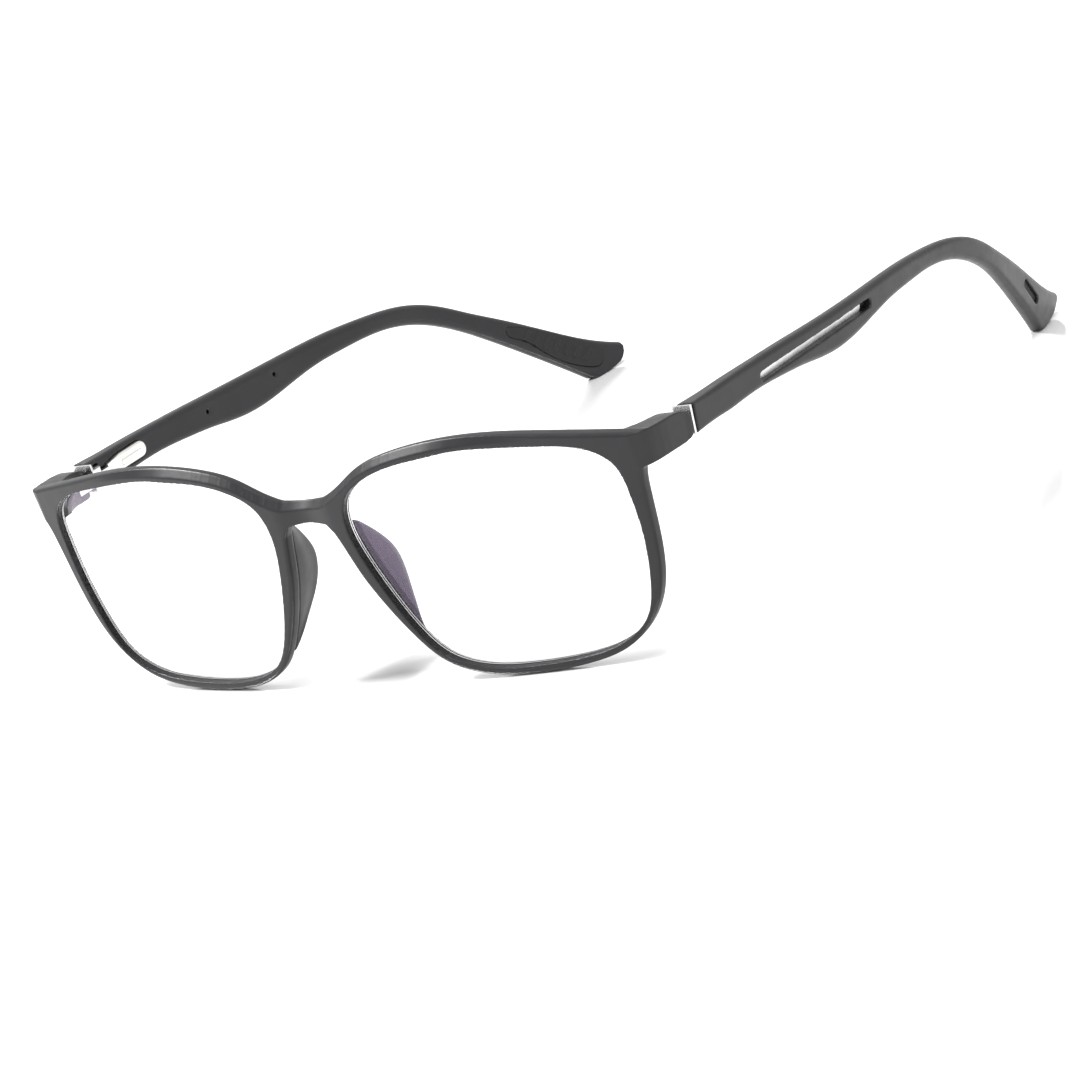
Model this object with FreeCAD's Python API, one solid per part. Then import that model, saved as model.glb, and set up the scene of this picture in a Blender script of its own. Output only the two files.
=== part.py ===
"""Blue light glasses: a full-rim moulded frame with sprung hinges.

The glasses stand open on the rims' bottoms and the temple tips. +X is the wearer's left, -Y is the way the
wearer looks, +Z is up. Every left-hand piece is modelled and the right-hand one is its mirror image.
All lengths are millimetres and all angles are degrees.
"""
import FreeCAD, Part

import math
import os

V = FreeCAD.Vector

FAR = 60.0                # length of cutting tools that only need to reach through
PRISM_START = -FAR / 2    # y where the upright outlines of the front are drawn

# ---- driving dimensions: front ----
FRONT_RADIUS = 289.0      # curve of the front face, seen from above
FRONT_TILT = 3.86         # the top of the front leans forward
FRONT_Y = -5.67           # front face at the middle, at floor height
TILT_PIVOT = -3.0
RIM_DEPTH = 2.8
RIM_WIDTH = 60.0          # one rim, from the nose to the end piece
BRIDGE_TOP = 35.2
BRIDGE_UNDERSIDE = 31.3
RIM_FRONT_ROUND = 0.7
RIM_REAR_ROUND = 1.0

# outlines of one half of the front, seen from ahead: x, z
OPENING = [
    (31.5, 41.0), (22.0, 40.1), (14.2, 37.9), (9.9, 34.8), (8.5, 30.6), (9.3, 24.3), (11.8, 16.7),
    (14.8, 10.0), (18.4, 5.3), (24.6, 2.5), (34.5, 1.6), (44.5, 2.0), (52.2, 3.6), (57.6, 7.3),
    (60.4, 13.6), (61.9, 21.5), (62.1, 29.5), (61.0, 34.6), (57.8, 37.4), (50.5, 39.45), (41.5, 40.6),
]
RIM_TOP = [(4.4, 35.4), (9.0, 37.45), (13.5, 40.0), (20.5, 42.1), (28.5, 43.1), (36.0, 43.25),
           (44.3, 42.55), (55.0, 40.85), (62.0, 39.65), (70.0, 38.2)]
RIM_SIDE = [(66.2, 33.6), (65.6, 32.3), (64.8, 28.4), (64.1, 22.5), (62.8, 15.3), (60.7, 9.9), (57.3, 5.6),
            (52.4, 2.4), (45.0, 0.6), (36.0, 0.0), (28.5, 0.4), (22.3, 1.8), (17.6, 4.4), (13.6, 9.2),
            (10.0, 15.6), (7.6, 21.3), (6.2, 26.2), (5.3, 29.2)]
BRIDGE_SIDE = (4.2, 30.9)

# ---- driving dimensions: lens ----
LENS_DEPTH = 1.35         # lens front face, behind the rim's front face
LENS_THICKNESS = 1.1
BEVEL_DEPTH = 1.6         # bevel front, behind the rim's front face
BEVEL_THICKNESS = 0.6
BEVEL_HEIGHT = 0.5
LENS_GAP = 0.08

# ---- driving dimensions: nose pads ----
# height, then x and y of the pad's rear edge
PAD_STATIONS = [(6.6, 15.5, -2.9), (8.2, 14.2, -2.4), (10.0, 13.1, -1.7), (12.6, 12.0, -0.3), (16.0, 10.6, 1.5),
                (19.5, 9.6, 2.6), (23.0, 8.8, 2.3), (26.2, 8.1, 0.4), (28.6, 7.5, -1.6), (30.2, 7.0, -3.8)]
PAD_START = 1.3           # the pad starts this far behind the rim's front face
PAD_INSET = 0.15          # and this far inside the rim's nasal side
PAD_ROOT_WIDTH = 0.95
PAD_EDGE_WIDTH = 0.6

# ---- driving dimensions: end piece and joint ----
SIDE_CANT = 6.0           # the sides lean outward towards the top
CANT_LEVEL = 36.0         # height at which the plan outlines are true
JOINT_Y = 12.5            # rear face of the end piece
PLATE_THICKNESS = 0.5
JOINT_GAP = 0.5           # dark parting gap between the plate and the temple
JOINT_OUTER = 68.5
JOINT_INNER = 65.0
END_TOP = 38.35
END_BOTTOM = 33.1
# plan of the end piece: the outer side with its corner into the front face, the inner sweep and the rear corner
SIDE_PLAN = [(JOINT_OUTER, JOINT_Y), (68.05, 6.0), (67.55, 2.6), (66.95, 0.9), (66.3, 0.05), (65.2, -0.65),
             (63.8, -1.3), (61.5, -2.1)]
END_SWEEP = [(59.0, 1.2), (61.6, 3.0), (63.2, 5.6), (63.9, 9.2)]
END_REAR_CORNER = [(63.9, 9.2), (64.4, 11.6), (65.6, JOINT_Y)]
END_FRONT = -12.0         # the end piece is drawn from here and cut off at the front face
# side view of the end piece: y, z
END_UPPER = [(END_FRONT, 40.0), (0.0, 39.0), (7.0, 38.8), (9.6, 38.5), (11.4, 37.8), (JOINT_Y, 36.9)]
END_LOWER = [(JOINT_Y, 33.9), (11.9, 33.3), (10.8, 33.05), (7.0, 33.07), (0.0, 33.1), (END_FRONT, 33.6)]

# ---- driving dimensions: hinge ----
PIN_X = 64.6
PIN_Y = 14.2
HINGE_MID = 35.4
KNUCKLE_RADIUS = 1.25
KNUCKLE_HEIGHT = 1.1
EYE_HEIGHT = 1.2
KNUCKLE_GAP = 0.08
PIN_RADIUS = 0.6
PIN_CLEARANCE = 0.05
SCREW_HEAD_RADIUS = 0.85
SCREW_HEAD_HEIGHT = 0.45
LEAF_THICKNESS = 0.8
LEAF_START = 8.5
LEAF_HEIGHT = 2.2
LEAF_INNER = PIN_X - KNUCKLE_RADIUS
EYE_SWEEP = 0.25          # room for the turning eye between the knuckles
DRIVER_WIDTH = 0.26       # slot in the screw head
DRIVER_DEPTH = 0.2

# ---- driving dimensions: spring box ----
SPRING_X = 65.8           # axis of the sliding rod
BOX_START = 18.0
BOX_END = 28.95
BOX_INNER = 64.6
BOX_OUTER = 67.0
BOX_HEIGHT = 2.9
BOX_NOSE_HEIGHT = 1.9
BOX_NOSE_END = 21.8
BOX_WALL_FRONT = 1.2
BORE_RADIUS = 0.95
BORE_END = 27.6
ROD_RADIUS = 0.42
ROD_CLEARANCE = 0.06
WIRE_RADIUS = 0.125
COIL_RADIUS = 0.70
COIL_TURNS = 9
STOP_LENGTH = 0.8
STOP_RADIUS = 0.8
STOP_START = 25.5
STOP_END = STOP_START + STOP_LENGTH
SPRING_CLEARANCE = 0.02
COIL_START = BOX_START + BOX_WALL_FRONT + WIRE_RADIUS + SPRING_CLEARANCE
BOX_ROUND = 0.3
BOX_RIDGE_RADIUS = 0.35

# ---- driving dimensions: temple ----
ARM_START = JOINT_Y + PLATE_THICKNESS + JOINT_GAP
ARM_END_BEVEL = 4.0       # degrees that the arm's end face falls back outward
ARM_THICKNESS = 2.9
ARM_JOINT_THICKNESS = 3.45
ARM_THINNING = 0.025      # per millimetre along the arm
ARM_CANT = 7.0            # the faces lean outward towards the top edge
# along the arm: y, z, lean of the cross-section, x of the outer face, height, corner radius
ARM_STATIONS = [
    (-6.0, 36.1, 1.0, 68.5, 5.4, 0.5), (4.0, 35.9, 1.0, 68.5, 5.35, 0.5), (14.0, 35.75, 1.0, 68.45, 5.3, 0.5),
    (22.0, 35.5, 1.5, 68.4, 5.25, 0.8), (29.0, 35.3, 1.75, 68.35, 5.25, 0.9), (36.0, 35.0, 2.0, 68.3, 5.25, 1.0),
    (43.0, 34.45, 2.2, 68.25, 5.6, 1.0), (50.0, 33.75, 2.5, 68.2, 6.15, 1.1), (62.0, 32.7, 2.5, 67.95, 6.95, 1.2),
    (74.0, 32.85, 2.5, 67.45, 5.6, 1.2), (86.0, 32.75, 3.0, 66.6, 4.5, 1.2), (98.0, 31.75, 9.0, 65.5, 3.8, 1.2),
    (108.2, 29.6, 18.0, 64.7, 4.0, 1.2), (117.2, 25.6, 27.0, 63.6, 4.15, 1.2),
    (125.9, 19.8, 33.0, 61.5, 4.6, 1.2), (135.5, 12.6, 36.0, 58.4, 6.1, 1.2), (145.2, 5.0, 37.0, 55.1, 7.85, 1.2),
    (157.0, -3.0, 38.0, 50.6, 12.2, 1.2),
]
ARM_HEEL = [(155.8, 9.0), (155.7, 4.6), (155.1, 2.5), (153.6, 1.0), (151.0, 0.3), (147.5, 0.0), (144.8, 0.3),
            (142.6, 1.6), (140.0, 3.5), (136.0, 6.5)]
HEEL_BACK = [(136.0, -15.0), (162.0, -15.0), (162.0, 9.0)]

# ---- driving dimensions: trim in the outer face ----
TRIM_FRAME = ((68.15, 53.15, 33.65), (-0.018, 1.0, -0.036), (0.123, 0.04, 1.0))
TRIM_LENGTH = 38.0
TRIM_WIDTH = 1.7
TRIM_FLOOR = 2.0          # depth of the slot's floor
TRIM_THICKNESS = 0.5
TRIM_PIN_RADIUS = 0.45
TRIM_PINS = (-4.95, 15.25)   # along the slot, from its middle
TRIM_PIN_SUNK = 0.5
TRIM_SHORT = 1.8          # empty end of the slot behind the trim

# ---- driving dimensions: grip in the tip's inner face ----
GRIP_FRAME = ((56.2, 141.8, 7.7), (-0.273, 0.80, -0.60), (0.123, 0.6, 0.80))
GRIP_OUTLINE = [(-15.0, 0.9), (-9.5, 1.9), (-2.0, 2.4), (6.0, 2.7), (9.3, 1.8), (9.4, -0.8), (6.5, -2.4),
                (1.0, -2.9), (-6.0, -2.0), (-12.0, -1.0), (-15.2, -0.3)]
GRIP_FLOOR = 2.1          # depth of the pocket's floor behind the outer face
GRIP_KEY_LENGTH = 9.4
GRIP_KEY_WIDTH = 1.6
GRIP_KEY_SUNK = 0.5
KEY_PLACE = FreeCAD.Placement(V(-2.9, 0.4, 0), FreeCAD.Rotation(V(0, 0, 1), -6.0))
RIB_COUNT = 7
RIB_FIRST = -10.0
RIB_STEP = 2.55
RIB_MIDDLE = -0.1
RIB_TURN = 70.0
RIB_LENGTH = 3.2
RIB_WIDTH = 0.8
RIB_HEIGHT = 0.25

DIAGONAL = math.sqrt(0.5)
TOOL_X = 40.0             # where the tools that cut sideways into the temple start
BOX_POCKET_GAP = 0.12
RECESS_GAP = 0.25
RECESS_OUTER = 66.45
RECESS_END = 16.4

# ---- general helpers ----
def vectors(points, level=None, axis="z"):
    """Plane points as vectors: (x, y) at a height, or (y, z) at an x, or (x, z) at a y."""
    if axis == "x":
        return [V(level, a, b) for a, b in points]
    if axis == "y":
        return [V(a, level, b) for a, b in points]
    return [V(a, b, level) for a, b in points]


def curve(points):
    """One smooth edge through the points."""
    spline = Part.BSplineCurve()
    spline.interpolate(points)
    return spline.toShape()


def loop(points):
    """One smooth closed edge through the points."""
    spline = Part.BSplineCurve()
    spline.interpolate(points, PeriodicFlag=True)
    return Part.Wire([spline.toShape()])


def line(a, b):
    return Part.LineSegment(a, b).toShape()


def outline(parts, level, axis="z"):
    """Edges through lists of plane points: two points make a line and more make a curve."""
    edges = []
    for part in parts:
        points = vectors(part, level, axis)
        edges.append(line(*points) if len(points) == 2 else curve(points))
    return edges


def solid_from(edges, direction):
    face = Part.Face(Part.Wire(Part.__sortEdges__(edges)))
    return face.extrude(direction)


def box(low, high):
    size = V(*high) - V(*low)
    return Part.makeBox(size.x, size.y, size.z, V(*low))


def rod(radius, start, end):
    """A cylinder from one point to another."""
    axis = V(*end) - V(*start)
    return Part.makeCylinder(radius, axis.Length, V(*start), axis)


def biggest(shape):
    """The largest solid of a cut, as a clean solid."""
    return max(shape.Solids, key=lambda solid: solid.Volume)


def mirrored(shape):
    return shape.mirror(V(0, 0, 0), V(1, 0, 0))


def rounded(shape, radius, keep):
    """Round the edges that `keep` accepts. Edges that can't be rounded stay sharp."""
    edges = [edge for edge in shape.Edges if keep(edge)]
    try:
        result = shape.makeFillet(radius, edges)
        if result.isValid() and result.Volume > 0.5 * shape.Volume:
            return result
    except Part.OCCError:
        pass
    print("not rounded:", len(edges), "edges at", radius)
    return shape


# ---- the curved, tilted front ----
def tilted(shape):
    """Lean a shape that was made upright forward with the front."""
    shape = shape.copy()
    shape.rotate(V(0, TILT_PIVOT, 0), V(1, 0, 0), FRONT_TILT)
    return shape


def front_disc(depth):
    """Everything behind a surface that lies `depth` behind the front face, in the upright front."""
    radius = FRONT_RADIUS - depth
    centre = V(0, FRONT_Y + FRONT_RADIUS, -FAR)
    return Part.makeCylinder(radius, 3 * FAR, centre, V(0, 0, 1))


def front_layer(depth, thickness):
    return front_disc(depth).cut(front_disc(depth + thickness))


def lies_at_depth(edge, depth):
    """True for an edge that runs along the front's curved surface at a depth."""
    for point in edge.discretize(5):
        off = math.hypot(point.x, point.y - FRONT_Y - FRONT_RADIUS) - (FRONT_RADIUS - depth)
        if abs(off) > 0.01:
            return False
    return True


def front_prism(face):
    """Carry a face in the x-z plane right through the front."""
    return face.extrude(V(0, FAR, 0))


def opening_prism(grown):
    """The lens opening, grown outward by a distance and carried through the front."""
    spline = Part.BSplineCurve()
    points = vectors(OPENING, PRISM_START, "y")
    spline.interpolate(points, PeriodicFlag=True)
    moved = []
    for point in points:
        along = spline.tangent(spline.parameter(point))[0]
        moved.append(point + V(along.z, 0, -along.x).normalize() * grown)
    return front_prism(Part.Face(loop(moved)))


def front_outline():
    """The outline of the whole front, seen from ahead."""
    arch = V(0, PRISM_START, BRIDGE_UNDERSIDE)
    crown = V(0, PRISM_START, BRIDGE_TOP)
    parts = [RIM_TOP, [RIM_TOP[-1], RIM_SIDE[0]], RIM_SIDE, [RIM_SIDE[-1], BRIDGE_SIDE]]
    left = outline(parts, PRISM_START, "y")
    right = [mirrored(edge) for edge in left]
    top = V(RIM_TOP[0][0], PRISM_START, RIM_TOP[0][1])
    shoulder = V(BRIDGE_SIDE[0], PRISM_START, BRIDGE_SIDE[1])
    bridge = [Part.Arc(V(-top.x, top.y, top.z), crown, top).toShape(),
              Part.Arc(V(-shoulder.x, shoulder.y, shoulder.z), arch, shoulder).toShape()]
    return left + right + bridge


# ---- canted sides: end piece and arm share the same plan direction ----
def canted_prism(plan):
    """Carry a plan outline up and down along the canted direction."""
    slope = math.tan(math.radians(SIDE_CANT))
    face = Part.Face(Part.Wire(Part.__sortEdges__(outline(plan, CANT_LEVEL))))
    face.translate(V(-FAR * slope, 0, -FAR))
    return face.extrude(V(2 * FAR * slope, 0, 2 * FAR))


def beside():
    """Everything outboard of the end piece's side."""
    front, rear = SIDE_PLAN[-1], SIDE_PLAN[0]
    outer = rear[0] + FAR
    corners = [front, (front[0], -FAR), (outer, -FAR), (outer, rear[1]), rear]
    return canted_prism([SIDE_PLAN] + [list(pair) for pair in zip(corners, corners[1:])])


def end_piece(lens_bed):
    """The block behind the rim's top corner that carries the hinge."""
    inner_front = (END_SWEEP[0][0], END_FRONT)
    outer_front = (SIDE_PLAN[-1][0], END_FRONT)
    plan = [[inner_front, END_SWEEP[0]], END_SWEEP, END_REAR_CORNER, [END_REAR_CORNER[-1], SIDE_PLAN[0]],
            SIDE_PLAN, [SIDE_PLAN[-1], outer_front], [outer_front, inner_front]]
    side_view = [END_UPPER, [END_UPPER[-1], END_LOWER[0]], END_LOWER, [END_LOWER[-1], END_UPPER[0]]]
    silhouette = solid_from(outline(side_view, TOOL_X, "x"), V(FAR, 0, 0))
    block = biggest(canted_prism(plan).common(silhouette))
    block = block.common(tilted(front_disc(0.0)))
    return biggest(block.cut([tilted(opening_prism(0.0)), tilted(lens_bed)]))


def front_frame(lens_bed):
    outline = solid_from(front_outline(), V(0, FAR, 0))
    slab = outline.common(front_layer(0.0, RIM_DEPTH))
    slab = rounded(biggest(slab), RIM_REAR_ROUND, lambda edge: lies_at_depth(edge, RIM_DEPTH))
    slab = rounded(slab, RIM_FRONT_ROUND, lambda edge: lies_at_depth(edge, 0.0))
    for side in (1, -1):
        opening = opening_prism(0.0)
        bed = lens_bed
        if side < 0:
            opening = mirrored(opening)
            bed = mirrored(bed)
        slab = slab.cut(opening).cut(bed)
    frame = tilted(slab).cut([beside(), mirrored(beside())])
    block = end_piece(lens_bed)
    frame = frame.fuse([block, mirrored(block)])
    return biggest(frame.removeSplitter())


def lens_solid(gap):
    """The lens with its bevel, shrunk by a gap all round."""
    body = opening_prism(-gap).common(front_layer(LENS_DEPTH, LENS_THICKNESS))
    bevel = opening_prism(BEVEL_HEIGHT - gap).common(front_layer(BEVEL_DEPTH + gap, BEVEL_THICKNESS - 2 * gap))
    return biggest(body.fuse(bevel).removeSplitter())


def groove_bed():
    return opening_prism(BEVEL_HEIGHT).common(front_layer(BEVEL_DEPTH, BEVEL_THICKNESS))


# ---- nose pad ----
def nasal_edge(height):
    """x of the rim's nasal side at a height."""
    side = curve(vectors(RIM_SIDE, 0, "y")).discretize(4000)
    return min((point for point in side if point.x < RIM_WIDTH / 2), key=lambda point: abs(point.z - height)).x


def pad_section(height, rear_x, rear_y):
    """The pad at one height, a thin blade that runs back from the rim's nasal side and spreads outward."""
    edge = nasal_edge(height) + PAD_INSET
    drop = FRONT_RADIUS - math.sqrt(FRONT_RADIUS ** 2 - edge ** 2)
    start = FRONT_Y + drop - height * math.tan(math.radians(FRONT_TILT)) + PAD_START
    span = rear_y - start
    flare = rear_x - edge
    nose_side = [(edge, start), (edge + 0.2 * flare, start + 0.45 * span), (edge + 0.7 * flare, start + 0.85 * span),
                 (rear_x, rear_y)]
    lens_side = [(rear_x + PAD_EDGE_WIDTH, rear_y - 0.1 * span), (edge + 0.6 * flare + 1.2, start + 0.55 * span),
                 (edge + PAD_ROOT_WIDTH, start + 0.2 * span), (edge + PAD_ROOT_WIDTH / 2, start - 0.05 * span)]
    return loop(vectors(nose_side + lens_side, height))


def nose_pad(frame):
    sections = [pad_section(*station) for station in PAD_STATIONS]
    blade = Part.makeLoft(sections, True, False)
    return biggest(blade.cut(frame))


# ---- hinge ----
def pin_levels():
    """Bottom and top of the lower knuckle, the eye and the upper knuckle."""
    eye_low = HINGE_MID - EYE_HEIGHT / 2
    eye_high = HINGE_MID + EYE_HEIGHT / 2
    lower = (eye_low - KNUCKLE_GAP - KNUCKLE_HEIGHT, eye_low - KNUCKLE_GAP)
    upper = (eye_high + KNUCKLE_GAP, eye_high + KNUCKLE_GAP + KNUCKLE_HEIGHT)
    return lower, (eye_low, eye_high), upper


def upright(radius, levels):
    low, high = levels
    return rod(radius, (PIN_X, PIN_Y, low), (PIN_X, PIN_Y, high))


def plate_solid():
    """The bright plate on the rear face of the end piece, as tall and wide as the temple's end."""
    rear = JOINT_Y + PLATE_THICKNESS
    corners = [(LEAF_INNER, JOINT_Y), (JOINT_OUTER, JOINT_Y), (JOINT_OUTER, rear), (LEAF_INNER, rear)]
    sides = [list(pair) for pair in zip(corners, corners[1:] + corners[:1])]
    return canted_prism(sides).common(box((TOOL_X, 0, END_BOTTOM), (TOOL_X + FAR, FAR, END_TOP)))


def hinge_leaf(frame):
    lower, eye, upper = pin_levels()
    low = HINGE_MID - LEAF_HEIGHT / 2
    high = HINGE_MID + LEAF_HEIGHT / 2
    leaf = box((LEAF_INNER, LEAF_START, low), (LEAF_INNER + LEAF_THICKNESS, JOINT_Y, high))
    piece = plate_solid().fuse(leaf)
    for levels in (lower, upper):
        web = box((LEAF_INNER, JOINT_Y, levels[0]), (PIN_X + KNUCKLE_RADIUS, PIN_Y, levels[1]))
        piece = piece.fuse(web).fuse(upright(KNUCKLE_RADIUS, levels))
    sweep = upright(KNUCKLE_RADIUS + EYE_SWEEP, (eye[0] - KNUCKLE_GAP, eye[1] + KNUCKLE_GAP))
    bore = upright(PIN_RADIUS, (lower[0] - 1, upper[1] + 1))
    head = upright(SCREW_HEAD_RADIUS, (upper[1] - SCREW_HEAD_HEIGHT, upper[1] + 1))
    piece = piece.cut([sweep, bore, head])
    return biggest(piece.cut(frame).removeSplitter())


def hinge_screw():
    lower, eye, upper = pin_levels()
    shank = upright(PIN_RADIUS, (lower[0], upper[1] - SCREW_HEAD_HEIGHT))
    head = upright(SCREW_HEAD_RADIUS, (upper[1] - SCREW_HEAD_HEIGHT, upper[1]))
    driver = box((PIN_X - 1, PIN_Y - DRIVER_WIDTH / 2, upper[1] - DRIVER_DEPTH),
                 (PIN_X + 1, PIN_Y + DRIVER_WIDTH / 2, upper[1] + 1))
    return shank.fuse(head).removeSplitter().cut(driver)


def hinge_slider():
    lower, eye, upper = pin_levels()
    barrel = upright(KNUCKLE_RADIUS, eye)
    neck = box((PIN_X - 0.35, PIN_Y, eye[0]), (SPRING_X + 0.45, BOX_START - 0.05, eye[1]))
    shaft = rod(ROD_RADIUS, (SPRING_X, PIN_Y + 2, HINGE_MID), (SPRING_X, STOP_END, HINGE_MID))
    bore = upright(PIN_RADIUS + PIN_CLEARANCE, (eye[0] - 1, eye[1] + 1))
    return barrel.fuse([neck, shaft]).removeSplitter().cut(bore)


def hinge_spring():
    length = STOP_START - WIRE_RADIUS - SPRING_CLEARANCE - COIL_START
    helix = Part.makeHelix(length / COIL_TURNS, length, COIL_RADIUS)
    ring = Part.Wire([Part.makeCircle(WIRE_RADIUS, V(COIL_RADIUS, 0, 0), V(0, 1, 0))])
    coil = Part.Wire([helix]).makePipeShell([ring], True, True)
    coil.rotate(V(0, 0, 0), V(1, 0, 0), -90)
    coil.translate(V(SPRING_X, COIL_START, HINGE_MID))
    return coil


def spring_stop():
    collar = rod(STOP_RADIUS, (SPRING_X, STOP_START, HINGE_MID), (SPRING_X, STOP_END, HINGE_MID))
    return collar.cut(rod(ROD_RADIUS, (SPRING_X, BOX_START, HINGE_MID), (SPRING_X, BOX_END, HINGE_MID)))


def box_outline(grown, x):
    """The spring box from the side: a narrow nose, a straight body and a half-round end."""
    half = BOX_HEIGHT / 2 + grown
    nose = BOX_NOSE_HEIGHT / 2 + grown
    start = BOX_START - grown
    turn = BOX_END - BOX_HEIGHT / 2
    upper = [V(x, start, HINGE_MID + nose), V(x, BOX_NOSE_END, HINGE_MID + half), V(x, turn, HINGE_MID + half)]
    lower = [V(x, start, HINGE_MID - nose), V(x, BOX_NOSE_END, HINGE_MID - half), V(x, turn, HINGE_MID - half)]
    end = V(x, BOX_END + grown, HINGE_MID)
    edges = [line(upper[0], upper[1]), line(upper[1], upper[2]), Part.Arc(upper[2], end, lower[2]).toShape(),
             line(lower[2], lower[1]), line(lower[1], lower[0]), line(lower[0], upper[0])]
    return edges


def spring_box():
    shell = solid_from(box_outline(0.0, BOX_INNER), V(BOX_OUTER - BOX_INNER, 0, 0))
    shell = rounded(shell, BOX_ROUND, lambda edge: edge.BoundBox.XMax < BOX_INNER + 0.01
                    and edge.BoundBox.YMin > BOX_START)
    ridge_x = BOX_INNER + 0.22
    ridge = rod(BOX_RIDGE_RADIUS, (ridge_x, BOX_NOSE_END, HINGE_MID), (ridge_x, BOX_END - 1.6, HINGE_MID))
    dimple = Part.makeSphere(BOX_RIDGE_RADIUS, V(BOX_INNER - 0.1, BOX_NOSE_END, HINGE_MID - 0.75))
    bore = rod(BORE_RADIUS, (SPRING_X, BOX_START + BOX_WALL_FRONT, HINGE_MID), (SPRING_X, BORE_END, HINGE_MID))
    throat = rod(ROD_RADIUS + ROD_CLEARANCE, (SPRING_X, BOX_START - 1, HINGE_MID),
                 (SPRING_X, BORE_END, HINGE_MID))
    return biggest(shell.fuse(ridge).cut([dimple, bore, throat]).removeSplitter())


# ---- temple ----
def section(y, z, lean, outer, height, corner):
    """The arm's cross-section as a wire: a leaning, canted rectangle with round corners."""
    lean = math.radians(lean)
    rise = V(math.tan(math.radians(ARM_CANT)), math.sin(lean), math.cos(lean))
    thickness = max(ARM_THICKNESS, ARM_JOINT_THICKNESS - (y - JOINT_Y) * ARM_THINNING)
    middle = V(outer - thickness / 2, y, z)
    wide = V(thickness / 2, 0, 0)
    tall = rise * (height / 2)
    edges = []
    corners = [(1, 1), (-1, 1), (-1, -1), (1, -1)]
    ends = []
    for a, b in corners:
        centre = middle + V(a * (thickness / 2 - corner), 0, 0) + rise * (b * (height / 2 - corner))
        side = centre + V(a * corner, 0, 0)
        top = centre + rise * (b * corner)
        mid = centre + V(a * corner * DIAGONAL, 0, 0) + rise * (b * corner * DIAGONAL)
        first, last = (side, top) if a * b > 0 else (top, side)
        ends.append((first, mid, last))
    for index, (first, mid, last) in enumerate(ends):
        edges.append(Part.Arc(first, mid, last).toShape())
        edges.append(line(last, ends[(index + 1) % 4][0]))
    return Part.Wire(edges)


def face_frame(centre, forward, upward):
    """A placement whose X runs along the arm, Y up the arm's face and Z straight out of its outer face."""
    along = V(*forward).normalize()
    out = along.cross(V(*upward)).normalize()
    return FreeCAD.Placement(V(*centre), FreeCAD.Rotation(along, out.cross(along), out, "XYZ"))


def placed(shape, place):
    shape = shape.copy()
    shape.Placement = place.multiply(shape.Placement)
    return shape


def flat_slot(length, width, low, high):
    """A straight slot with round ends, centred in a face frame, between two levels along its Z."""
    half = (length - width) / 2
    tool = box((-half, -width / 2, low), (half, width / 2, high))
    for end in (-half, half):
        tool = tool.fuse(rod(width / 2, (end, 0, low), (end, 0, high)))
    return tool.removeSplitter()


def arm_blank():
    blank = Part.makeLoft([section(*station) for station in ARM_STATIONS], True, False)
    back = vectors([ARM_HEEL[-1]] + HEEL_BACK + [ARM_HEEL[0]], TOOL_X, "x")
    heel = [curve(vectors(ARM_HEEL, TOOL_X, "x"))] + [line(a, b) for a, b in zip(back, back[1:])]
    end = box((50, 0, 20), (80, ARM_START, 50))
    end.rotate(V(JOINT_INNER, ARM_START, 0), V(0, 0, 1), ARM_END_BEVEL)
    return biggest(blank.cut([solid_from(heel, V(FAR, 0, 0)), end]))


def trim_pins():
    """Two pins from the trim to the inner face."""
    return [rod(TRIM_PIN_RADIUS, (at, 0, -TRIM_FLOOR), (at, 0, -ARM_THICKNESS + TRIM_PIN_SUNK)) for at in TRIM_PINS]


def temple_trim():
    strip = flat_slot(TRIM_LENGTH - TRIM_SHORT, TRIM_WIDTH, -TRIM_FLOOR, -TRIM_FLOOR + TRIM_THICKNESS)
    strip.translate(V(-TRIM_SHORT / 2, 0, 0))
    return placed(strip.fuse(trim_pins()).removeSplitter(), face_frame(*TRIM_FRAME))


def trim_tools():
    tools = [flat_slot(TRIM_LENGTH, TRIM_WIDTH, -TRIM_FLOOR, TRIM_FLOOR)]
    tools += [rod(TRIM_PIN_RADIUS, (at, 0, -FAR / 10), (at, 0, 0)) for at in TRIM_PINS]
    return [placed(tool, face_frame(*TRIM_FRAME)) for tool in tools]


def grip_outline(level):
    return loop([V(x, y, level) for x, y in GRIP_OUTLINE])


def grip_tools():
    pad = Part.Face(grip_outline(-GRIP_FLOOR)).extrude(V(0, 0, -FAR / 10))
    slot = placed(flat_slot(GRIP_KEY_LENGTH, GRIP_KEY_WIDTH, -GRIP_FLOOR - 0.1, FAR / 20), KEY_PLACE)
    return [placed(tool, face_frame(*GRIP_FRAME)) for tool in (pad, slot)]


def tip_grip():
    bed = Part.Face(grip_outline(-GRIP_FLOOR))
    pad = bed.extrude(V(0, 0, GRIP_FLOOR - ARM_THICKNESS))
    reach = bed.extrude(V(0, 0, -FAR / 10))
    key = placed(flat_slot(GRIP_KEY_LENGTH, GRIP_KEY_WIDTH, -GRIP_FLOOR - 0.1, -GRIP_KEY_SUNK), KEY_PLACE)
    ribs = []
    for index in range(RIB_COUNT):
        at = RIB_FIRST + index * RIB_STEP
        rib = flat_slot(RIB_LENGTH, RIB_WIDTH, -ARM_THICKNESS - RIB_HEIGHT, -GRIP_FLOOR - 0.2)
        rib.rotate(V(0, 0, 0), V(0, 0, 1), RIB_TURN)
        rib.translate(V(at, RIB_MIDDLE, 0))
        ribs.append(rib.common(reach))
    return placed(biggest(pad.fuse([key] + ribs).removeSplitter()), face_frame(*GRIP_FRAME))


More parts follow.
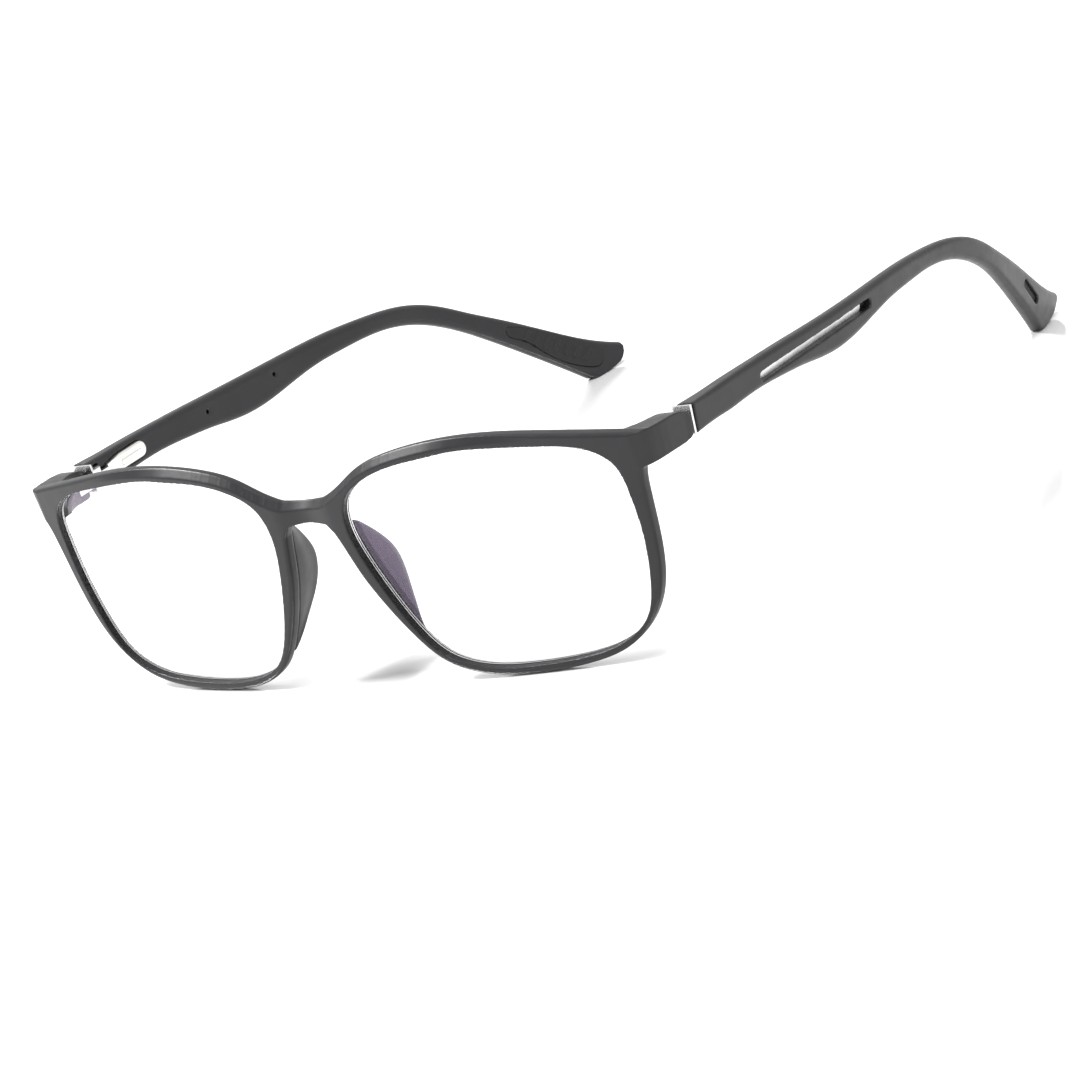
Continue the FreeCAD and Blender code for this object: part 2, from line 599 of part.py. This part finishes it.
def temple_arm(blank):
    pocket = solid_from(box_outline(BOX_POCKET_GAP, TOOL_X), V(BOX_OUTER - TOOL_X, 0, 0))
    lower, eye, upper = pin_levels()
    knuckles = box((TOOL_X, 10, lower[0] - RECESS_GAP), (RECESS_OUTER, RECESS_END, upper[1] + RECESS_GAP))
    channel = box((TOOL_X, 10, eye[0] - RECESS_GAP), (RECESS_OUTER, BOX_START + 1, eye[1] + RECESS_GAP))
    return biggest(blank.cut([pocket, knuckles, channel] + trim_tools() + grip_tools()))


def main():
    os.makedirs("parts", exist_ok=True)
    frame = front_frame(groove_bed())
    blank = arm_blank()
    left = {
        "lens": tilted(lens_solid(LENS_GAP)),
        "nose_pad": nose_pad(frame),
        "hinge_leaf": hinge_leaf(frame),
        "hinge_screw": hinge_screw(),
        "hinge_slider": hinge_slider(),
        "hinge_spring": hinge_spring(),
        "spring_stop": spring_stop(),
        "spring_box": spring_box(),
        "temple_arm": temple_arm(blank),
        "temple_trim": temple_trim(),
        "tip_grip": tip_grip(),
    }
    pieces = {"front_frame": frame}
    for name, shape in left.items():
        pieces["left_" + name] = shape
        pieces["right_" + name] = mirrored(shape)
    whole = Part.makeCompound(list(pieces.values())).optimalBoundingBox(False)
    origin = V(0, -(whole.YMin + whole.YMax) / 2, -whole.ZMin)
    print("origin shift", round(origin.y, 3), round(origin.z, 3))
    for name, shape in pieces.items():
        shape.translate(origin)
        print(name, "valid" if shape.isValid() else "BROKEN", len(shape.Solids), round(shape.Volume, 2))
        shape.exportStep("parts/" + name + ".step")


main()
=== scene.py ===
import math

import bpy
from mathutils import Matrix, Vector


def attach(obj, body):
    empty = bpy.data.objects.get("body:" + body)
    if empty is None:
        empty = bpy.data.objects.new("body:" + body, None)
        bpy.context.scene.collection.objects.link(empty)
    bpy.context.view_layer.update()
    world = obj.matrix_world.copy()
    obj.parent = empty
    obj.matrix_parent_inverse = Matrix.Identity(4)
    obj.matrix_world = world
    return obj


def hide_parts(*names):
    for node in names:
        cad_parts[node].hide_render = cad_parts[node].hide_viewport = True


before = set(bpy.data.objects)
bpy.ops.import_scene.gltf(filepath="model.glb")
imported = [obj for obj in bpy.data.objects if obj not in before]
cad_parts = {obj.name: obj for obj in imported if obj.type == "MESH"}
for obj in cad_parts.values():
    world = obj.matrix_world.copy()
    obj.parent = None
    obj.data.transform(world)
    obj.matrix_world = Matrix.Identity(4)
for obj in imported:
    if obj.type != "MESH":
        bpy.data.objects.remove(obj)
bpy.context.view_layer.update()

SIDES = ("left", "right")
ORIGIN = Vector((0.0, -0.073798, 0.000007))   # the drawing's own zero, in the row frame

# ---- camera ----
AZIMUTH = math.radians(39.4953)
ELEVATION = math.radians(16.7037)
ROLL = math.radians(-17.7966)
ACROSS = 0.0259909
UPWARD = 0.0227942
DISTANCE = 0.703607
LENS_MM = 137.78
SENSOR_MM = 36.0
NEAREST = 0.05
FARTHEST = 20.0


def make_camera():
    back = Vector((math.sin(AZIMUTH) * math.cos(ELEVATION), -math.cos(AZIMUTH) * math.cos(ELEVATION),
                   math.sin(ELEVATION)))
    level = Vector((math.cos(AZIMUTH), math.sin(AZIMUTH), 0.0))
    upright = back.cross(level)
    right = math.cos(ROLL) * level + math.sin(ROLL) * upright
    up = -math.sin(ROLL) * level + math.cos(ROLL) * upright
    data = bpy.data.cameras.new("camera")
    data.lens = LENS_MM
    data.sensor_width = SENSOR_MM
    data.clip_start = NEAREST
    data.clip_end = FARTHEST
    camera = bpy.data.objects.new("camera", data)
    bpy.context.scene.collection.objects.link(camera)
    turn = Matrix((right, up, back)).transposed().to_4x4()
    place = ORIGIN + ACROSS * right + UPWARD * up + DISTANCE * back
    camera.matrix_world = Matrix.Translation(place) @ turn
    bpy.context.scene.camera = camera


make_camera()


# ---- materials: driving values ----
PIN_END = 0.0659          # the trims' pins lie inward of this distance from the middle
PIN_EDGE = 0.0001         # over which the pins' painted black shade turns into the strip's satin
WALL_LIMIT = 0.0625       # the rims' sides lie inward of this distance from the middle
WALL_EDGE = 0.002         # over which the painted shade of the rims' sides ends
# painted shade: colour for the rims' inner sides, darker than the lit faces
WALL_PAINTED_SHADE = (0.004, 0.004, 0.0045)
# painted shade: near-black for the pins' ends, standing in for shade in their holes
PIN_PAINTED_SHADE = (0.01, 0.01, 0.01)
CHARCOAL = ((0.0150, 0.0150, 0.0165), (0.0195, 0.0195, 0.0212))
SOFT_BLACK = ((0.0120, 0.0120, 0.0130), (0.0160, 0.0160, 0.0170))
PLASTIC_ROUGHNESS = 0.34
PLASTIC_GRAIN = 0.0000030
GRIP_ROUGHNESS = 0.62
GRIP_GRAIN = 0.0000080
PLASTIC_SPECULAR = 0.24
CLOUD_SCALE = 60.0        # cloudiness, sheen and grain of the plastic, from the coarsest to the finest
SHEEN_SCALE = 420.0
GRAIN_SCALE = 900.0
FINE_GRAIN_SCALE = 5200.0
BRUSH_LINES = 3000.0
BRUSH_HEIGHT = 0.000002
GLASS_IOR = 1.5
GLASS_EDGE_ROUGHNESS = 0.30
GLASS_COATING = (0.80, 0.60, 0.95)


# ---- materials ----
class Nodes:
    """A small helper that adds and joins shader nodes."""

    def __init__(self, name):
        self.material = bpy.data.materials.new(name)
        self.material.use_nodes = True
        self.tree = self.material.node_tree
        self.shader = self.tree.nodes["Principled BSDF"]
        self.place = self.tree.nodes.new("ShaderNodeTexCoord").outputs["Object"]
        self.normal = self.tree.nodes.new("ShaderNodeNewGeometry").outputs["Normal"]

    def add(self, kind, **settings):
        node = self.tree.nodes.new(kind)
        for key, value in settings.items():
            setattr(node, key, value)
        return node

    def join(self, output, socket):
        self.tree.links.new(output, socket)

    def noise(self, scale, detail=2.0, roughness=0.5, stretch=None):
        node = self.add("ShaderNodeTexNoise")
        node.inputs["Scale"].default_value = scale
        node.inputs["Detail"].default_value = detail
        node.inputs["Roughness"].default_value = roughness
        place = self.place
        if stretch:
            mapping = self.add("ShaderNodeMapping")
            mapping.inputs["Scale"].default_value = stretch
            self.join(place, mapping.inputs["Vector"])
            place = mapping.outputs["Vector"]
        self.join(place, node.inputs["Vector"])
        return node.outputs["Fac"]

    def part(self, vector, axis):
        """One component of a vector."""
        node = self.add("ShaderNodeSeparateXYZ")
        self.join(vector, node.inputs["Vector"])
        return node.outputs[axis]

    def math(self, operation, *values):
        node = self.add("ShaderNodeMath", operation=operation)
        for socket, value in zip(node.inputs, values):
            if isinstance(value, float):
                socket.default_value = value
            else:
                self.join(value, socket)
        return node.outputs["Value"]

    def ramp(self, value, low, high, at=(0.0, 1.0)):
        """A smooth change from one colour to another as the value goes between two levels."""
        node = self.add("ShaderNodeMapRange", clamp=True)
        node.inputs["From Min"].default_value = at[0]
        node.inputs["From Max"].default_value = at[1]
        self.join(value, node.inputs["Value"])
        mix = self.add("ShaderNodeMix", data_type="RGBA")
        self.join(node.outputs["Result"], mix.inputs["Factor"])
        mix.inputs["A"].default_value = (*low, 1.0)
        mix.inputs["B"].default_value = (*high, 1.0)
        return mix.outputs["Result"]

    def level(self, value, low, high, at=(0.3, 0.7)):
        node = self.add("ShaderNodeMapRange", clamp=True)
        node.inputs["From Min"].default_value = at[0]
        node.inputs["From Max"].default_value = at[1]
        node.inputs["To Min"].default_value = low
        node.inputs["To Max"].default_value = high
        self.join(value, node.inputs["Value"])
        return node.outputs["Result"]

    def bump(self, height, distance, onto=None):
        node = self.add("ShaderNodeBump")
        node.inputs["Strength"].default_value = 1.0
        node.inputs["Distance"].default_value = distance
        self.join(height, node.inputs["Height"])
        if onto:
            self.join(onto, node.inputs["Normal"])
        return node.outputs["Normal"]


def moulded_plastic(name, dark, light, rough, grain, walls=None):
    """Matt moulded plastic: fine grain, a slightly uneven sheen and faint cloudiness.

    With `walls`, the sides of the rims get painted shade, darker than their front and upper faces, out to
    that distance from the middle.
    """
    n = Nodes(name)
    colour = n.ramp(n.noise(CLOUD_SCALE, 3.0), dark, light, (0.3, 0.7))
    if walls:
        facing = n.level(n.math("ABSOLUTE", n.part(n.normal, "Y")), 0.0, 1.0, (0.25, 0.8))
        upward = n.level(n.part(n.normal, "Z"), 0.0, 1.0, (0.3, 0.8))
        beyond = n.level(n.math("ABSOLUTE", n.part(n.place, "X")), 0.0, 1.0, (walls, walls + WALL_EDGE))
        open_face = n.math("MAXIMUM", n.math("MAXIMUM", facing, upward), beyond)
        # painted shade: sides facing neither front, back nor up take the dark wall colour
        shade = n.add("ShaderNodeMix", data_type="RGBA")
        n.join(open_face, shade.inputs["Factor"])
        shade.inputs["A"].default_value = (*WALL_PAINTED_SHADE, 1.0)
        n.join(colour, shade.inputs["B"])
        colour = shade.outputs["Result"]
    n.join(colour, n.shader.inputs["Base Color"])
    n.join(n.level(n.noise(SHEEN_SCALE, 3.0), rough - 0.04, rough + 0.05), n.shader.inputs["Roughness"])
    coarse = n.bump(n.noise(GRAIN_SCALE, 2.0), grain * 1.5)
    fine = n.bump(n.noise(FINE_GRAIN_SCALE, 2.0), grain, onto=coarse)
    n.join(fine, n.shader.inputs["Normal"])
    n.shader.inputs["Specular IOR Level"].default_value = PLASTIC_SPECULAR
    return n.material


def metal(name, colour, dull, rough, brushed=(1.0, 1.0, 1.0)):
    """Metal with fine brush lines and small changes in its polish."""
    n = Nodes(name)
    streak = n.noise(BRUSH_LINES, 3.0, 0.6, stretch=brushed)
    n.join(n.ramp(streak, dull, colour, (0.35, 0.65)), n.shader.inputs["Base Color"])
    n.join(n.level(streak, rough + 0.06, rough - 0.04), n.shader.inputs["Roughness"])
    n.join(n.bump(streak, BRUSH_HEIGHT), n.shader.inputs["Normal"])
    n.shader.inputs["Metallic"].default_value = 1.0
    return n.material


def lens_glass(name):
    """Clear lens with a violet coating on its faces and a finely ground edge."""
    n = Nodes(name)
    tint = n.ramp(n.noise(30.0, 2.0), (0.965, 0.955, 0.985), (0.985, 0.975, 0.995), (0.3, 0.7))
    n.join(tint, n.shader.inputs["Base Color"])
    facing = n.math("ABSOLUTE", n.part(n.normal, "Y"))
    n.join(n.level(facing, GLASS_EDGE_ROUGHNESS, 0.0, (0.6, 0.9)), n.shader.inputs["Roughness"])
    n.shader.inputs["IOR"].default_value = GLASS_IOR
    n.shader.inputs["Transmission Weight"].default_value = 1.0
    n.shader.inputs["Specular Tint"].default_value = (*GLASS_COATING, 1.0)
    return n.material


def trim_metal(name):
    """Satin strip; the pins behind it are painted near-black as painted shade in their recessed holes."""
    n = Nodes(name)
    streak = n.noise(BRUSH_LINES, 3.0, 0.6, stretch=(1.0, 0.10, 1.0))
    bright = n.ramp(streak, (0.84, 0.84, 0.84), (0.93, 0.93, 0.93), (0.35, 0.65))
    outside = n.level(n.math("ABSOLUTE", n.part(n.place, "X")), 0.0, 1.0, (PIN_END, PIN_END + PIN_EDGE))
    # painted shade on the pins, inward of PIN_END
    shade = n.add("ShaderNodeMix", data_type="RGBA")
    n.join(outside, shade.inputs["Factor"])
    shade.inputs["A"].default_value = (*PIN_PAINTED_SHADE, 1.0)
    n.join(bright, shade.inputs["B"])
    n.join(shade.outputs["Result"], n.shader.inputs["Base Color"])
    n.join(n.level(streak, 0.48, 0.38), n.shader.inputs["Roughness"])
    n.shader.inputs["Metallic"].default_value = 1.0
    return n.material


PLASTIC = moulded_plastic("charcoal_plastic", *CHARCOAL, PLASTIC_ROUGHNESS, PLASTIC_GRAIN)
FRONT_PLASTIC = moulded_plastic("front_plastic", *CHARCOAL, PLASTIC_ROUGHNESS, PLASTIC_GRAIN, WALL_LIMIT)
RUBBER = moulded_plastic("soft_grip", *SOFT_BLACK, GRIP_ROUGHNESS, GRIP_GRAIN)
HINGE = metal("hinge_steel", (0.82, 0.82, 0.81), (0.66, 0.66, 0.66), 0.26, (1.0, 0.15, 1.0))
WIRE = metal("spring_wire", (0.55, 0.55, 0.55), (0.40, 0.40, 0.41), 0.30)
BOX_METAL = metal("satin_box", (0.80, 0.785, 0.755), (0.66, 0.645, 0.62), 0.34, (1.0, 0.12, 1.0))
TRIM = trim_metal("light_trim")
LENS = lens_glass("coated_lens")


def paint(obj, material):
    obj.data.materials.clear()
    obj.data.materials.append(material)


def smooth_shading(obj):
    for polygon in obj.data.polygons:
        polygon.use_smooth = True


# ---- soft-edged copies of the moulded pieces ----
FRONT_RADIUS = 0.289      # curve of the front face
FRONT_FACE = -0.00567     # front face at the middle, from the drawing's zero
FRONT_TILT = math.radians(3.86)
TILT_PIVOT = -0.003
SADDLE_DEPTH = 0.0009     # hollow in the front of the bridge
SADDLE_REACH = 0.0065
BROW_DEPTH = 0.0013       # slope along the rims' upper front edge
BROW_HEIGHT = 0.0015
BROW_REACH = (0.028, 0.050)   # the slope fades out between these distances from the middle
STRIP = 0.0003            # width of the strips in which the top of the front is looked up


def front_face(x, z):
    """y of the front face at a place on it."""
    upright = FRONT_FACE + FRONT_RADIUS - math.sqrt(FRONT_RADIUS ** 2 - x ** 2) - TILT_PIVOT
    return ORIGIN.y + TILT_PIVOT + upright * math.cos(FRONT_TILT) - z * math.sin(FRONT_TILT)


def carve_front(mesh):
    """Hollow the bridge and slope the rims' upper front edge."""
    reach = BROW_REACH[1]
    crest = {}
    near = [vertex for vertex in mesh.vertices if abs(vertex.co.x) < reach]
    for vertex in near:
        strip = round(vertex.co.x / STRIP)
        crest[strip] = max(crest.get(strip, 0.0), vertex.co.z)
    for vertex in near:
        x, y, z = vertex.co
        fade = min(1.0, (reach - abs(x)) / (reach - BROW_REACH[0]))
        rise = (z - crest[round(x / STRIP)]) / BROW_HEIGHT + 1.0
        depth = BROW_DEPTH * fade * max(0.0, rise)
        if abs(x) < SADDLE_REACH:
            depth += SADDLE_DEPTH * math.cos(0.5 * math.pi * x / SADDLE_REACH) ** 2
        vertex.co.y = max(y, front_face(x, z) + depth)


def modified(piece):
    """The piece's mesh with its modifiers applied."""
    graph = bpy.context.evaluated_depsgraph_get()
    mesh = bpy.data.meshes.new_from_object(piece.evaluated_get(graph))
    piece.modifiers.clear()
    return mesh


def add_remesh(piece, voxel):
    remesh = piece.modifiers.new("remesh", "REMESH")
    remesh.mode = "VOXEL"
    remesh.voxel_size = voxel


def soft_copy(node, body, material, voxel, rounds, carve=None):
    """A copy of a CAD node with the small moulding radii that the design leaves out."""
    piece = bpy.data.objects.new(node + "_moulded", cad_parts[node].data.copy())
    bpy.context.scene.collection.objects.link(piece)
    paint(piece, material)
    if carve:
        add_remesh(piece, voxel)
        piece.data = modified(piece)
        carve(piece.data)
    add_remesh(piece, voxel)
    soften = piece.modifiers.new("soften", "SMOOTH")
    soften.factor = 0.5
    soften.iterations = rounds
    piece.data = modified(piece)
    smooth_shading(piece)
    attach(piece, body)
    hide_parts(node)


soft_copy("front_frame", "front", FRONT_PLASTIC, 0.00014, 9, carve_front)
for side in SIDES:
    soft_copy(side + "_temple_arm", side + "_temple", PLASTIC, 0.00016, 8)
    soft_copy(side + "_nose_pad", "front", PLASTIC, 0.00014, 10)
    soft_copy(side + "_tip_grip", side + "_temple", RUBBER, 0.00010, 5)

# ---- CAD pieces that show as they are ----
FINISHES = {
    "lens": LENS,
    "hinge_leaf": HINGE,
    "hinge_screw": HINGE,
    "hinge_slider": HINGE,
    "hinge_spring": WIRE,
    "spring_stop": HINGE,
    "spring_box": BOX_METAL,
    "temple_trim": TRIM,
}
for side in SIDES:
    for name, material in FINISHES.items():
        paint(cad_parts[side + "_" + name], material)


# ---- floor and light ----
FLOOR_SHINE = (0.05, 0.42)        # share of mirror-like reflection far in front of the rims and at them
FLOOR_FADE = (-0.150, -0.078)     # y of those two places
FLOOR_SIZE = 6.0
FLOOR_GREYS = ((0.90, 0.90, 0.90), (0.92, 0.92, 0.92))


def make_floor():
    """A pale sheet whose polish fades away in front of the object."""
    bpy.ops.mesh.primitive_plane_add(size=FLOOR_SIZE, location=(0.0, 0.0, 0.0))
    floor = bpy.context.object
    floor.name = "floor"
    n = Nodes("pale_floor")
    n.join(n.ramp(n.noise(3.0, 2.0), *FLOOR_GREYS), n.shader.inputs["Base Color"])
    n.shader.inputs["Roughness"].default_value = 0.8
    n.shader.inputs["Specular IOR Level"].default_value = 0.1
    mirror = n.add("ShaderNodeBsdfGlossy")
    mirror.inputs["Color"].default_value = (0.98, 0.98, 0.98, 1.0)
    mirror.inputs["Roughness"].default_value = 0.05
    mix = n.add("ShaderNodeMixShader")
    n.join(n.level(n.part(n.place, "Y"), *FLOOR_SHINE, FLOOR_FADE), mix.inputs["Fac"])
    n.join(n.shader.outputs["BSDF"], mix.inputs[1])
    n.join(mirror.outputs["BSDF"], mix.inputs[2])
    n.join(mix.outputs["Shader"], n.tree.nodes["Material Output"].inputs["Surface"])
    paint(floor, n.material)


def soft_light(name, place, target, size, power):
    data = bpy.data.lights.new(name, "AREA")
    data.shape = "RECTANGLE"
    data.size, data.size_y = size
    data.energy = power
    lamp = bpy.data.objects.new(name, data)
    bpy.context.scene.collection.objects.link(lamp)
    lamp.location = place
    lamp.rotation_euler = (Vector(target) - Vector(place)).to_track_quat("-Z", "Y").to_euler()


make_floor()
soft_light("edge_light", (-0.55, -0.26, 0.67), (0.0, -0.03, 0.02), (0.14, 0.14), 10.0)
soft_light("side_light", (0.30, -0.15, 0.80), (0.0, 0.0, 0.02), (0.25, 0.25), 5.0)

world = bpy.data.worlds.new("studio")
world.use_nodes = True
world.node_tree.nodes["Background"].inputs["Color"].default_value = (1.0, 1.0, 1.0, 1.0)
world.node_tree.nodes["Background"].inputs["Strength"].default_value = 1.0
bpy.context.scene.world = world
bpy.context.scene.view_settings.view_transform = "Standard"
